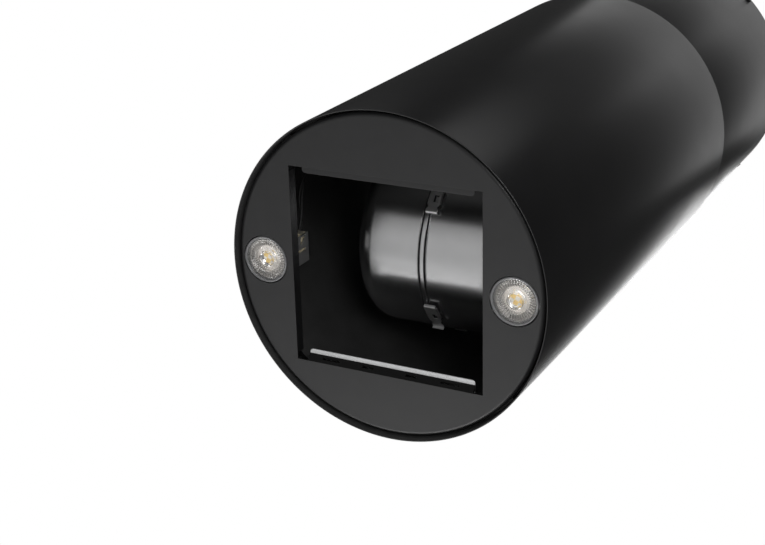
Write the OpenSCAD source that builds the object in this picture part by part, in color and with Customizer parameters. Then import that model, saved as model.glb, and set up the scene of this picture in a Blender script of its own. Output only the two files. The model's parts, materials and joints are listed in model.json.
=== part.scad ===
// Tube-shaped island range hood, hung from the ceiling.
// +Z is up, +X to the right lamp, -Y to the front. The origin is on the ceiling, on the tube's axis.
// The hood's own pieces are placed from the lower tube's bottom rim by at_rim().

/* [Tubes] */
// Outer diameter of the lower tube
tube_d = 350; // [340:1:380]
// Sheet thickness of both tubes
tube_wall = 1.2; // [0.8:0.1:1.5]
// Height of the lower tube
lower_tube_h = 600; // [560:5:640]
// Height from the lower tube's rim to the ceiling
overall_h = 900; // [880:5:960]
// Length of the upper tube that is inside the lower tube
tube_overlap = 120; // [100:5:130]
// Radial gap between the two tubes
tube_gap = 1.6; // [1.2:0.1:2]

/* [Base plate] */
// Depth of the base plate's face above the rim
recess = 4.2; // [3:0.1:6]
// Sheet thickness of the base plate
plate_t = 1.2; // [1:0.1:1.5]
// Radial gap between the base plate and the lower tube
plate_gap = 3; // [2.5:0.1:5]
// Outer bend radius of the base plate's edge
plate_bend = 5; // [4:0.5:6]
// Side length of the square filter opening
opening = 212; // [206:1:214]
// Length of each filter ledge
ledge_len = 190; // [180:1:194]
// Height of the ledges' lips above the plate's face
ledge_rise = 7.2; // [6:0.1:9]
// Height of the opening's two side flanges
side_flange_h = 11; // [8:1:14]

/* [Lamps] */
// Distance of each lamp from the tube's axis
lamp_x = 139; // [138:0.5:139.5]
// Diameter of the lamp's face
lamp_d = 49.6; // [49:0.1:50.4]
// Radius of the lamp's hole in the base plate
lamp_hole_r = 26.1; // [25.8:0.1:26.5]
// Length of the lamp body behind its face, without the pins
lamp_body_h = 42; // [40:0.5:43]

/* [Blower] */
// Outer radius of the blower drum
drum_r = 100; // [98:0.5:102]
// Half of the drum's length
drum_half = 83; // [81:1:86]
// Radius of the drum's rounded ends
drum_round = 29; // [26:1:30]
// Height of the blower's axis above the rim
axis_z = 186; // [182:1:190]
// Offset of the blower's axis to the rear
axis_y = 16; // [12:1:18]
// Sheet thickness of the half-shells
shell_t = 1; // [0.8:0.1:1.2]
// Outer radius of the impeller
impeller_r = 74; // [70:1:78]
// Half of the impeller's width
impeller_half = 62; // [58:1:62]
// Number of blades
blade_count = 36; // [24:1:44]

/* [Outlet] */
// Outer radius of the outlet collar
collar_r = 74.5; // [73:0.1:75]
// Length of the collar above its flange
collar_h = 60; // [55:1:65]
// Wall thickness of the collar
collar_t = 2; // [1.6:0.1:2.4]
// Radial clearance of each flap's pin in the collar
pin_clearance = 0.06; // [0.03:0.01:0.09]

/* [Ceiling mount] */
// Diameter of the circle of ceiling bolts
bolt_circle_d = 280; // [270:1:290]
// Radius of the ceiling bolt holes
bolt_hole_r = 4.5; // [4:0.1:5]
// Radius of the duct hole in the ceiling plate
duct_hole_r = 88; // [86:1:90]
// Distance that the hood slides up
travel = 150; // [100:5:150]

/* [Hidden] */
$fn = 96;

eps = 0.01;
tube_r = tube_d / 2;
tube_in = tube_r - tube_wall;
upper_r = tube_in - tube_gap;
upper_in = upper_r - tube_wall;
upper_z = lower_tube_h - tube_overlap;

// Base plate
plate_r = tube_in - plate_gap;
plate_top = recess + plate_t;
plate_flange_top = 18;
half_open = opening / 2;
lip_z = recess + ledge_rise;
ledge_foot = 11;
stud_circle_r = 160;
stud_r = 2;
stud_top = 28;
shelf_t = 1.5;
plate_shelf_z = 20;
corner_angles = [45, 135, 225, 315];

// Lamps
lamp_r = lamp_d / 2;
lamp_face_z = recess - 0.3;
bulb_rim_h = 5;
bulb_top = lamp_face_z + lamp_body_h;
bulb_neck_r = 13.5;
lamp_pin_r = 2.5;
lamp_pin_x = 5;
lamp_pin_h = 7;
holder_z = bulb_top + 0.4;
holder_h = 15;
holder_w = 30;
bracket_t = 1.2;
bracket_w = 32;
bracket_y = 2;
cap_over_h = 6;
bracket_foot_x = 26.6;
bracket_neck_x = 17.2;
bracket_neck_z = 41;
bracket_top = holder_z + holder_h + bracket_t;
bracket_reach = 165.7;
lens_r = 22.6;
lens_t = 2.6;
led_r = 15;

// Blower
throat_r = 56;
ring_t = 1.5;
ring_flange_r = 70;
seam_half = 3.3;
seam_t = 1;
clip_angles = [-97, -41, 36, 88];
clip_lengths = [26, 26, 36, 26];
clip_w = 14;
clip_x = 6;
clip_h = 4.6;
clip_t = 0.8;
clip_roll_r = 1.5;
blade_in = 60;
blade_t = 1;
hub_r = 11;
shaft_r = 4;
motor_r = 41;
motor_start = 12;
motor_end = 64;
arm_count = 3;
arm_w = 12;
arm_in = 49;
arm_t = 2.5;
foot_r = 63;
damper_t = 2;

// Deck and outlet
deck_z = 300;
deck_t = 1.5;
deck_r = 165;
deck_top = deck_z + deck_t;
neck_r = 78;
neck_flange_r = 92;
outlet_screw_r = 84.5;
gasket_t = 1.5;
collar_base = deck_top + gasket_t;
collar_flange_t = 3;
collar_top = collar_base + collar_flange_t + collar_h;
collar_in = collar_r - collar_t;
flap_z = collar_base + 16;
flap_y = 2.6;
flap_r = collar_in - 0.6;
flap_t = 1.2;
flap_barrel_r = 2;
flap_pin_r = 1.5;
flap_stop_t = 1.5;
flap_stop_gap = 0.5;

// Control box and capacitor
box_half = 62;
box_front = -143;
box_back = -95;
box_h = 34;
box_wall = 2;
cap_x = -128;
cap_r = 17;
cap_h = 58;
gland_x = 35;
gland_y = -119;
gland_bore_r = 4.2;
left_hole = [-86, -120];
right_hole = [86, -120];
motor_hole = [78, -92];
motor_entry_y = -101;
grommet_r = 6;
lead_r = 3;

// Frame
angle_leg = 25;
angle_t = 1.5;
ceiling_corner = 105;
hood_corner = ceiling_corner - angle_t - 0.5;
hood_angle_leg = 22;
ceiling_plate_t = 2;
ceiling_plate_r = 168;
ceiling_angle_h = 398;
hood_angle_top = 640;
clamp_z = 540;
clamp_r = 3;
clamp_x = 90;
slot_r = 3.4;
tube_screw_z = overall_h - 10;
tab_x = 170.4;
tab_w = 16;
tab_h = 16;
tab_t = 1.5;

// Lead routes, from the rim
left_lead_route = [[-141, -4, 68.7], [-141, -6, 78], [-144, -22, 87], [-147, -43, 93], [-145, -68, 106],
    [-134, -88, 140], [-121, -102, 190], [-105, -113, 245], [-88, -120, 284], [-86, -120, 295], [-86, -120, 306],
    [-78, -120, 314], [-66, -120, 315], [-58, -120, 315]];
right_lead_route = [for (p = left_lead_route) [-p[0], p[1], p[2]]];
motor_lead_route = [[66.7, 16, 158], [76, 16, 158], [92, 13, 154], [108, 2, 160], [118, -22, 186],
    [118, -58, 225], [102, -80, 258], [80, -91, 284], [78, -92, 295], [78, -92, 306], [73, -97, 313],
    [66, -101, 315], [58, -101, 315]];

function arc(cx, cy, r, from, to, n = 8) =
    [for (i = [0:n]) [cx + r * cos(from + (to - from) * i / n), cy + r * sin(from + (to - from) * i / n)]];

// Smooth curve through a route's points, with the given number of steps for each stretch
function curve_at(a, b, c, d, t) = 0.5 * (2 * b + (c - a) * t + (2 * a - 5 * b + 4 * c - d) * t * t
    + (3 * b - a - 3 * c + d) * t * t * t);
function smooth(p, steps) = let (last = len(p) - 1) concat([for (i = [0:last - 1]) for (j = [0:steps - 1])
    curve_at(p[max(i - 1, 0)], p[i], p[i + 1], p[min(i + 2, last)], j / steps)], [p[last]]);
function unit(v) = v / norm(v);

// Round tube swept along a path
module swept_tube(path, r, sides = 8, ref = [1, 0.2, 0.1]) {
    last = len(path) - 1;
    rings = [for (i = [0:last]) let (
        along = unit(path[min(i + 1, last)] - path[max(i - 1, 0)]),
        side = unit(cross(along, ref)), up = cross(side, along))
        for (k = [0:sides - 1]) path[i] + r * (cos(360 * k / sides) * side + sin(360 * k / sides) * up)];
    walls = [for (i = [0:last - 1]) for (k = [0:sides - 1]) let (n = (k + 1) % sides)
        [i * sides + n, (i + 1) * sides + n, (i + 1) * sides + k, i * sides + k]];
    start = [for (k = [sides - 1:-1:0]) k];
    end = [for (k = [0:sides - 1]) last * sides + k];
    polyhedron(points = rings, faces = concat(walls, [start], [end]), convexity = 6);
}

module at_rim() {
    translate([0, 0, -overall_h]) children();
}

// Places a child on the blower's axis, turned so that its Z lies along +X and its X points down
module at_axis() {
    translate([0, axis_y, axis_z]) rotate([0, 90, 0]) children();
}

module ring(r_out, r_in, h) {
    difference() {
        cylinder(r = r_out, h = h);
        translate([0, 0, -1]) cylinder(r = r_in, h = h + 2);
    }
}

module block(low, high) {
    translate(low) cube(high - low);
}

// Bracket with a curved leg on the tube's inner wall and a shelf with one hole
module wall_bracket(angle, shelf_z, shelf_in, leg_z, leg_h, hole_at) {
    spread = 10;
    rotate([0, 0, angle]) difference() {
        rotate([0, 0, -spread / 2]) union() {
            rotate_extrude(angle = spread) translate([tube_in - 2, leg_z]) square([2, leg_h]);
            rotate_extrude(angle = spread) translate([shelf_in, shelf_z]) square([tube_in - shelf_in, shelf_t]);
        }
        translate([hole_at, 0, shelf_z - 1]) cylinder(r = 2.4, h = shelf_t + 2);
    }
}

// Pan-head screw, its head above z = 0
module pan_screw(shank_r, shank_h, head_r, head_h) {
    translate([0, 0, -shank_h]) cylinder(r = shank_r, h = shank_h + eps);
    difference() {
        cylinder(r = head_r, h = head_h);
        for (a = [0, 90])
            rotate([0, 0, a]) translate([-head_r * 0.6, -head_r * 0.11, head_h * 0.5])
                cube([head_r * 1.2, head_r * 0.22, head_h]);
    }
}

// ---- Hood body ----

module lower_tube() color("#1d1d1e") at_rim() ring(tube_r, tube_in, lower_tube_h);

module plate_profile() {
    bend_in = plate_bend - plate_t;
    polygon(concat([[0, recess]],
        arc(plate_r - plate_bend, recess + plate_bend, plate_bend, -90, 0),
        [[plate_r, plate_flange_top], [plate_r - plate_t, plate_flange_top]],
        arc(plate_r - plate_bend, recess + plate_bend, bend_in, 0, -90),
        [[0, plate_top]]));
}

// Sloped rear flange of the opening, with its row of hook slots
module rear_slope() {
    slope_y = 6;
    difference() {
        rotate([90, 0, 90]) linear_extrude(height = ledge_len, center = true)
            polygon([[half_open + eps, recess], [half_open + 1.6, plate_top],
                [half_open - slope_y + 1.4, lip_z], [half_open - slope_y, lip_z]]);
        for (side = [-1, 1]) {
            slot_cut(side * 68, 20);
            slot_cut(side * 25, 12);
        }
    }
}

module slot_cut(x, length) {
    translate([x - length / 2, half_open - 8, recess + 3]) cube([length, 14, 2.4]);
}

module base_plate() color("#2f2f30") at_rim() {
    difference() {
        rotate_extrude() plate_profile();
        block([-half_open, -half_open, 0], [half_open, half_open, plate_top + 1]);
        for (side = [-1, 1])
            translate([side * lamp_x, 0, 0]) cylinder(r = lamp_hole_r, h = plate_top + 1);
    }
    for (side = [-1, 1])
        translate([side * (half_open + plate_t / 2) - plate_t / 2, -half_open + 6, recess])
            cube([plate_t, opening - 12, side_flange_h + plate_t]);
    rear_slope();
    for (a = corner_angles)
        rotate([0, 0, a]) translate([stud_circle_r, 0, plate_top - eps]) cylinder(r = stud_r, h = stud_top - plate_top);
}

// Filter ledge on the +Y side: a foot on the plate, a leg and a lip over the opening with rounded corners
module filter_ledge(reach) {
    corner = 4;
    leg_y = half_open + 2.4;
    block([-ledge_len / 2, leg_y, plate_top], [ledge_len / 2, leg_y + ledge_foot, plate_top + plate_t]);
    block([-ledge_len / 2, leg_y, plate_top], [ledge_len / 2, leg_y + plate_t, lip_z + plate_t]);
    difference() {
        block([-ledge_len / 2, half_open - reach, lip_z], [ledge_len / 2, leg_y + eps, lip_z + plate_t]);
        for (side = [-1, 1])
            translate([side * ledge_len / 2, half_open - reach, lip_z - 1]) difference() {
                translate([-corner, -corner, 0]) cube([2 * corner, 2 * corner, plate_t + 2]);
                translate([-side * corner, corner, -1]) cylinder(r = corner, h = plate_t + 4);
                translate([-side * (corner + 4) - 4, corner, -1]) cube([8, 8, plate_t + 4]);
            }
    }
}

module front_filter_ledge() color("#343435") at_rim() mirror([0, 1, 0]) filter_ledge(8.5);
module rear_filter_ledge() color("#a9abad") at_rim() filter_ledge(11);

module plate_brackets() color("#2f2f30") at_rim()
    for (a = corner_angles)
        wall_bracket(a, plate_shelf_z, 153, plate_shelf_z, 25, stud_circle_r);

module plate_nuts() color("#b5b8ba") at_rim()
    for (a = corner_angles)
        rotate([0, 0, a]) translate([stud_circle_r, 0, plate_shelf_z + shelf_t]) difference() {
            cylinder(r = 4.04, h = 3.2, $fn = 6);
            translate([0, 0, -1]) cylinder(r = stud_r + 0.02, h = 6);
        }

// Lamp bracket in the lamp's own frame: a base round the hole, two legs that lean in, and a bridge
module lamp_bracket() {
    outline = [[bracket_foot_x, plate_top], [bracket_neck_x, bracket_neck_z], [bracket_neck_x, bracket_top],
        [-bracket_neck_x, bracket_top], [-bracket_neck_x, bracket_neck_z], [-bracket_foot_x, plate_top],
        [bracket_t - bracket_foot_x, plate_top], [bracket_t - bracket_neck_x, bracket_neck_z],
        [bracket_t - bracket_neck_x, bracket_top - bracket_t],
        [bracket_neck_x - bracket_t, bracket_top - bracket_t],
        [bracket_neck_x - bracket_t, bracket_neck_z], [bracket_foot_x - bracket_t, plate_top]];
    difference() {
        translate([0, bracket_y, 0]) rotate([90, 0, 0])
            linear_extrude(height = bracket_w, center = true) polygon(outline);
        translate([0, 0, bracket_top - 3]) cylinder(r = 9, h = 6);
        // Tapered windows in the legs beside the lampholder, and a groove up each leg's face
        for (side = [-1, 1]) {
            rotate([90, 0, 90]) translate([0, 0, side * 17 - 3]) linear_extrude(height = 6)
                polygon([[-12, 47], [-2, 47], [-12, 58]]);
            translate([side * 17 - 3, 1, 24]) cube([6, 3.2, 32]);
        }
    }
    difference() {
        translate([-bracket_foot_x, -36, plate_top]) cube([2 * bracket_foot_x, 72, bracket_t]);
        translate([0, 0, plate_top - 1]) cylinder(r = lamp_hole_r, h = 4);
    }
}

module placed_lamp_bracket(side) color("#c4c6c7") at_rim() intersection() {
    translate([side * lamp_x, 0, 0]) lamp_bracket();
    cylinder(r = bracket_reach, h = bracket_top + 1);
}

module left_lamp_bracket() placed_lamp_bracket(-1);
module right_lamp_bracket() placed_lamp_bracket(1);

module lampholder(side) color("#e6dcc0") at_rim() translate([side * lamp_x, 0, holder_z]) difference() {
    union() {
        block([-holder_w / 2, -10, 0], [holder_w / 2, 10, holder_h]);
        cylinder(r = 14, h = holder_h - 3);
    }
    for (x = [-lamp_pin_x, lamp_pin_x])
        translate([x, 0, -1]) cylinder(r = lamp_pin_r + 0.1, h = 9);
}

module left_lampholder() lampholder(-1);
module right_lampholder() lampholder(1);

// Lamp body: a cup with a ring at its mouth, a ribbed cone behind it, and two pins
module bulb_body(side) color("#9b9c9d") at_rim() translate([side * lamp_x, 0, lamp_face_z]) {
    difference() {
        union() {
            rotate_extrude() polygon([[0, 8], [lens_r - 1, 0.7], [lens_r, 0], [lamp_r - 0.8, 0], [lamp_r, 0.8],
                [lamp_r, bulb_rim_h], [lamp_r - 1.4, bulb_rim_h + 1], [bulb_neck_r + 2, 30], [bulb_neck_r, 34],
                [bulb_neck_r, lamp_body_h], [0, lamp_body_h]]);
            cylinder(r = 12, h = 20);
        }
        translate([0, 0, -1]) cylinder(r = lens_r + 0.1, h = lens_t + 1.8);
        translate([0, 0, 1]) cylinder(r1 = 21, r2 = led_r + 0.2, h = 10);
        translate([0, 0, 10]) cylinder(r = led_r + 0.2, h = 4);
    }
    for (x = [-lamp_pin_x, lamp_pin_x])
        translate([x, 0, lamp_body_h - eps]) {
            cylinder(r = 1.6, h = lamp_pin_h);
            translate([0, 0, lamp_pin_h - 2.5]) cylinder(r = lamp_pin_r, h = 2.5);
        }
}

module left_bulb_body() bulb_body(-1);
module right_bulb_body() bulb_body(1);

module bulb_lens(side) color("#dfe2e4") at_rim()
    translate([side * lamp_x, 0, lamp_face_z + 0.4]) cylinder(r = lens_r, h = lens_t - 0.2);
module left_bulb_lens() bulb_lens(-1);
module right_bulb_lens() bulb_lens(1);

// Black cap over the lampholder's terminals, on top of the bracket
module terminal_cap(side) color("#141414") at_rim() translate([side * lamp_x, bracket_y, bracket_top]) {
    block([-16, -13, 0], [16, 13, cap_over_h]);
    translate([0, -bracket_y, -bracket_t]) cylinder(r = 8.8, h = bracket_t + 1);
}

module left_terminal_cap() terminal_cap(-1);
module right_terminal_cap() terminal_cap(1);

module led_module(side) color("#f1d58a") at_rim()
    translate([side * lamp_x, 0, lamp_face_z + 12.4]) cylinder(r = led_r, h = 1.5);
module left_led_module() led_module(-1);
module right_led_module() led_module(1);

module left_lamp_lead() color("#151515") at_rim() swept_tube(smooth(left_lead_route, 4), lead_r);
module right_lamp_lead() color("#151515") at_rim() swept_tube(smooth(right_lead_route, 4), lead_r);
module motor_lead() color("#151515") at_rim() swept_tube(smooth(motor_lead_route, 4), lead_r);

module lead_grommets() color("#232323") at_rim()
    for (p = [left_hole, right_hole, motor_hole])
        translate([p[0], p[1], deck_z - 2]) difference() {
            union() {
                cylinder(r = grommet_r - 0.02, h = deck_t + 4);
                cylinder(r = grommet_r + 2, h = 2);
                translate([0, 0, deck_t + 2]) cylinder(r = grommet_r + 2, h = 2);
            }
            translate([0, 0, -1]) cylinder(r = lead_r + 0.9, h = 10);
        }

// ---- Blower ----

// Solid of one half of the drum and neck, shrunk by an inset; side is -1 for the left and 1 for the right
module half_housing(side, inset) {
    at_axis() mirror([0, 0, side < 0 ? 1 : 0]) rotate_extrude() polygon(concat(
        [[0, 0.2 - inset], [drum_r - inset, 0.2 - inset]],
        arc(drum_r - drum_round, drum_half - drum_round, drum_round - inset, 0, 90),
        [[0, drum_half - inset]]));
    intersection() {
        translate([0, 0, axis_z]) cylinder(r = neck_r - inset, h = deck_z - axis_z + (inset > 0 ? 1 : 0));
        block([side < 0 ? -neck_r - 1 : 0.2 - inset, -neck_r - 1, axis_z - 1],
            [side < 0 ? inset - 0.2 : neck_r + 1, neck_r + 1, deck_z + 2]);
    }
}

module half_shell(side) {
    difference() {
        union() {
            half_housing(side, 0);
            intersection() {
                translate([0, 0, deck_z - ring_t]) ring(neck_flange_r, neck_r - 0.5, ring_t);
                block([side < 0 ? -neck_flange_r : 0.2, -neck_flange_r, deck_z - 3],
                    [side < 0 ? -0.2 : neck_flange_r, neck_flange_r, deck_z + 1]);
            }
        }
        half_housing(side, shell_t);
        at_axis() cylinder(r = throat_r + 0.2, h = 2 * (drum_half + 5), center = true);
        if (side > 0)
            at_axis() foot_holes();
        for (a = corner_angles)
            rotate([0, 0, a]) translate([outlet_screw_r, 0, deck_z - 4]) cylinder(r = 2.2, h = 8);
    }
}

// Holes for the motor bracket's screws in the drum's right end
module foot_holes() {
    for (i = [0:arm_count - 1])
        rotate([0, 0, 60 + 360 * i / arm_count]) translate([foot_r, 0, drum_half - 3]) cylinder(r = 1.8, h = 6);
}

module blower_left_shell() color("#a4a6a8") at_rim() half_shell(-1);

// The right half-shell carries the seam's overlap band, which covers the left one's edge
module blower_right_shell() color("#a4a6a8") at_rim() {
    half_shell(1);
    at_axis() rotate([0, 0, -105]) rotate_extrude(angle = 242)
        polygon([[drum_r - 0.5, 0.2], [drum_r - 0.5, seam_half], [drum_r + seam_t, seam_half],
            [drum_r + seam_t + 0.1, 0], [drum_r + seam_t, -seam_half], [drum_r + 0.15, -seam_half],
            [drum_r + 0.15, 0.2]]);
}

// Spring clip over the seam: a plate with a window and a narrow waist, rolled ends and two side walls
module seam_clip(length) {
    plate_z = -drum_r - clip_h;
    reach = length / 2;
    difference() {
        block([clip_x - clip_w / 2, -reach, plate_z], [clip_x + clip_w / 2, reach, plate_z + clip_t]);
        block([clip_x - 1, -5.5, plate_z - 1], [clip_x + 4.4, 2.5, plate_z + 2]);
        for (side = [-1, 1])
            translate([clip_x + side * (clip_w / 2 + 1), 7, plate_z - 1]) cylinder(r = 2.6, h = 3);
    }
    for (side = [-1, 1])
        translate([clip_x + side * (clip_w / 2 - clip_t / 2), 0, 0])
            block([-clip_t / 2, 2 - reach, plate_z], [clip_t / 2, 3.6, -drum_r - seam_t - 0.3]);
    for (end = [-1, 1])
        translate([clip_x, end * reach, plate_z + clip_roll_r]) rotate([0, 90, 0])
            cylinder(r = clip_roll_r, h = clip_w, center = true, $fn = 32);
    for (end = [-1, 1])
        translate([clip_x, end * reach, 0])
            block([-clip_w / 2, -clip_t / 2, plate_z + clip_roll_r], [clip_w / 2, clip_t / 2, -drum_r - seam_t - 0.3]);
}

module seam_clips() color("#b9bbbd") at_rim() translate([0, axis_y, axis_z])
    for (i = [0:len(clip_angles) - 1])
        rotate([clip_angles[i], 0, 0]) seam_clip(clip_lengths[i]);

module inlet_ring(side) color("#2a2b2c") at_rim() at_axis() mirror([0, 0, side < 0 ? 1 : 0]) difference() {
    rotate_extrude() polygon([[throat_r - 1.5, impeller_half + 2.5], [throat_r, impeller_half + 2.5],
        [throat_r, drum_half], [ring_flange_r, drum_half], [ring_flange_r, drum_half + ring_t],
        [throat_r - 0.5, drum_half + ring_t], [throat_r - 1.5, drum_half]]);
    if (side > 0)
        foot_holes();
}

module left_inlet_ring() inlet_ring(-1);
module right_inlet_ring() inlet_ring(1);

// Finger guard over the left inlet
module left_inlet_guard() color("#b0b2b4") at_rim() at_axis() translate([0, 0, -drum_half - ring_t - 1.6]) {
    for (r = [18, 34, 50, 64])
        ring(r + 1, r - 1, 1.6);
    for (i = [0:arm_count - 1])
        rotate([0, 0, 60 + 360 * i / arm_count]) block([17, -1, 0], [65, 1, 1.6]);
}

module motor_case() color("#75787b") at_rim() at_axis() difference() {
    union() {
        translate([0, 0, motor_start + 3]) cylinder(r = motor_r, h = motor_end - motor_start - 3);
        translate([0, 0, motor_start]) cylinder(r = motor_r - 6, h = 4);
        translate([0, 0, motor_start - 3]) cylinder(r = 10, h = 5);
        for (i = [0:11])
            rotate([0, 0, 30 * i]) block([motor_r - 2, -1, motor_start + 8], [motor_r + 2.5, 1, motor_end - 6]);
    }
    translate([0, 0, 0]) cylinder(r = shaft_r + 0.06, h = motor_end - 8);
}

// Three bent arms from the motor's end face out through the right inlet to the half-shell's end
module motor_bracket() color("#9a9da0") at_rim() at_axis() {
    hook_z = drum_half + ring_t + damper_t;
    translate([0, 0, motor_end]) cylinder(r = 30, h = arm_t);
    for (i = [0:arm_count - 1])
        rotate([0, 0, 60 + 360 * i / arm_count]) {
            block([20, -arm_w / 2, motor_end], [arm_in + arm_t, arm_w / 2, motor_end + arm_t]);
            block([arm_in, -arm_w / 2, motor_end], [arm_in + arm_t, arm_w / 2, hook_z + arm_t]);
            difference() {
                block([arm_in, -arm_w / 2, hook_z], [foot_r + 6, arm_w / 2, hook_z + arm_t]);
                translate([foot_r, 0, hook_z - 1]) cylinder(r = 1.8, h = arm_t + 2);
            }
        }
}

module motor_dampers() color("#1b1b1b") at_rim() at_axis()
    for (i = [0:arm_count - 1])
        rotate([0, 0, 60 + 360 * i / arm_count]) translate([foot_r, 0, drum_half + ring_t]) ring(5, 1.8, damper_t);

module bracket_screws() color("#c0c2c4") at_rim() at_axis()
    for (i = [0:arm_count - 1])
        rotate([0, 0, 60 + 360 * i / arm_count])
            translate([foot_r, 0, drum_half + ring_t + damper_t + arm_t]) pan_screw(1.7, 9, 3.6, 2.2);

module impeller() color("#3a3c3e") at_rim() at_axis() {
    difference() {
        translate([0, 0, -1.5]) cylinder(r = blade_in + 4, h = 3);
        translate([0, 0, -2]) cylinder(r = hub_r, h = 4);
    }
    for (side = [-1, 1])
        translate([0, 0, side * (impeller_half - 1.5) - 1.5]) ring(impeller_r, impeller_r - 5, 3);
    for (i = [0:blade_count - 1])
        rotate([0, 0, 360 * i / blade_count]) translate([(impeller_r + blade_in) / 2 + 1, 0, 0])
            rotate([0, 0, 32]) cube([14.5, blade_t, 2 * impeller_half - 1], center = true);
}

module impeller_hub() color("#b6b8ba") at_rim() at_axis() translate([0, 0, -8]) ring(hub_r, shaft_r, 16);

module motor_shaft() color("#c8cacc") at_rim() at_axis() translate([0, 0, -10]) cylinder(r = shaft_r, h = motor_end - 2);

// ---- Deck and outlet ----

module motor_deck() color("#8f9295") at_rim() difference() {
    rotate_extrude() polygon([[neck_r - 1, deck_z], [deck_r, deck_z], [deck_r, deck_z + 10],
        [deck_r - deck_t, deck_z + 10], [deck_r - deck_t, deck_top], [neck_r - 1, deck_top]]);
    for (a = corner_angles) {
        rotate([0, 0, a]) translate([outlet_screw_r, 0, deck_z - 1]) cylinder(r = 2.2, h = 4);
        rotate([0, 0, a]) translate([158, 0, deck_z - 1]) cylinder(r = 2.4, h = 4);
    }
    for (p = [left_hole, right_hole, motor_hole])
        translate([p[0], p[1], deck_z - 1]) cylinder(r = grommet_r, h = 4);
}

module deck_brackets() color("#8d9093") at_rim()
    for (a = corner_angles)
        wall_bracket(a, deck_z - shelf_t, 151, deck_z - 22, 22, 158);

module deck_screws() color("#c0c2c4") at_rim()
    for (a = corner_angles)
        rotate([0, 0, a]) translate([158, 0, deck_top]) pan_screw(2.3, 9, 4, 2.6);

module outlet_gasket() color("#2b2b2b") at_rim() translate([0, 0, deck_top]) difference() {
    ring(neck_flange_r, neck_r - 1, gasket_t);
    for (a = corner_angles)
        rotate([0, 0, a]) translate([outlet_screw_r, 0, -1]) cylinder(r = 2.2, h = 4);
}

module outlet_collar() color("#202122") at_rim() difference() {
    union() {
        translate([0, 0, collar_base]) ring(neck_flange_r, collar_in, collar_flange_t);
        translate([0, 0, collar_base]) ring(collar_r, collar_in, collar_top - collar_base);
        translate([0, 0, flap_z - flap_t / 2 - flap_stop_gap - flap_stop_t])
            ring(collar_r - 0.5, collar_in - 2.5, flap_stop_t);
    }
    for (a = corner_angles)
        rotate([0, 0, a]) translate([outlet_screw_r, 0, collar_base - 1]) cylinder(r = 2.2, h = 6);
    for (y = [-flap_y, flap_y])
        translate([0, y, flap_z]) rotate([0, 90, 0])
            cylinder(r = flap_pin_r + pin_clearance, h = 2 * collar_r + 4, center = true);
}

module outlet_screws() color("#c0c2c4") at_rim()
    for (a = corner_angles)
        rotate([0, 0, a]) translate([outlet_screw_r, 0, collar_base + collar_flange_t]) pan_screw(2.1, 12, 3.8, 2.4);

// Half-round non-return flap on the +Y side, with its barrel and pins
module flap() {
    intersection() {
        translate([0, 0, flap_z - flap_t / 2]) cylinder(r = flap_r, h = flap_t);
        block([-flap_r, flap_y, flap_z - flap_t], [flap_r, flap_r, flap_z + flap_t]);
    }
    translate([0, flap_y, flap_z]) rotate([0, 90, 0]) {
        cylinder(r = flap_barrel_r, h = 2 * (flap_r - 3), center = true);
        cylinder(r = flap_pin_r, h = 2 * collar_r - 0.8, center = true);
    }
}

module rear_flap() color("#35363a") at_rim() flap();
module front_flap() color("#35363a") at_rim() mirror([0, 1, 0]) flap();

module capacitor() color("#e4e4e0") at_rim() translate([cap_x, 0, deck_top]) {
    cylinder(r = cap_r, h = cap_h);
    for (y = [-5, 5])
        block([-0.4, y - 3, cap_h - eps], [0.4, y + 3, cap_h + 8]);
}

module capacitor_strap() color("#a9abad") at_rim() translate([cap_x, 0, deck_top]) {
    translate([0, 0, 22]) ring(cap_r + 1.3, cap_r + 0.05, 10);
    for (side = [-1, 1])
        block([-5, side * (cap_r + 4) - 3.4, 0], [5, side * (cap_r + 4) + 3.4, 1.2]);
    for (side = [-1, 1])
        block([-5, side * (cap_r + 1.2) - 0.6, 0], [5, side * (cap_r + 1.2) + 0.6, 32]);
}

module box_outline(inset) {
    block([inset - box_half, box_front + inset, 0], [box_half - inset, box_back - inset, 60]);
}

module control_box_tray() color("#d8d8d4") at_rim() translate([0, 0, deck_top]) difference() {
    block([-box_half, box_front, 0], [box_half, box_back, box_h - 8]);
    translate([0, 0, box_wall]) box_outline(box_wall);
    for (entry = [[-box_half, left_hole[1]], [box_half, right_hole[1]], [box_half, motor_entry_y]])
        translate([entry[0], entry[1], 315 - deck_top]) rotate([0, 90, 0])
            cylinder(r = lead_r + 0.3, h = 10, center = true);
}

module control_box_cover() color("#dcdcd8") at_rim() translate([0, 0, deck_top + box_h - 8]) difference() {
    block([-box_half, box_front, 0], [box_half, box_back, 10]);
    translate([0, 0, -box_wall - 50]) box_outline(box_wall);
    translate([gland_x, gland_y, 0]) cylinder(r = 8.05, h = 20);
    for (side = [-1, 1])
        translate([side * 54, -119, 0]) cylinder(r = 1.7, h = 20);
}

module control_board() color("#1f5d3a") at_rim() translate([0, 0, deck_top + 6]) {
    block([-50, box_front + 4, 0], [52, box_back - 4, 1.6]);
    for (x = [-40, -22, -4])
        block([x, -138, 1.6], [x + 14, -118, 12]);
    translate([-46, -106, 1.6]) cylinder(r = 4, h = 5);
    for (x = [-48, 50])
        for (y = [-136, -102])
            translate([x, y, -4]) cylinder(r = 1.5, h = 4 + eps);
}

module terminal_block() color("#c9c6b4") at_rim() translate([18, -137, deck_top + 7.6])
    difference() {
        cube([30, 12, 11]);
        for (i = [0:2])
            translate([5 + 10 * i, 6, 5]) cylinder(r = 2.4, h = 10);
    }

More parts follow.
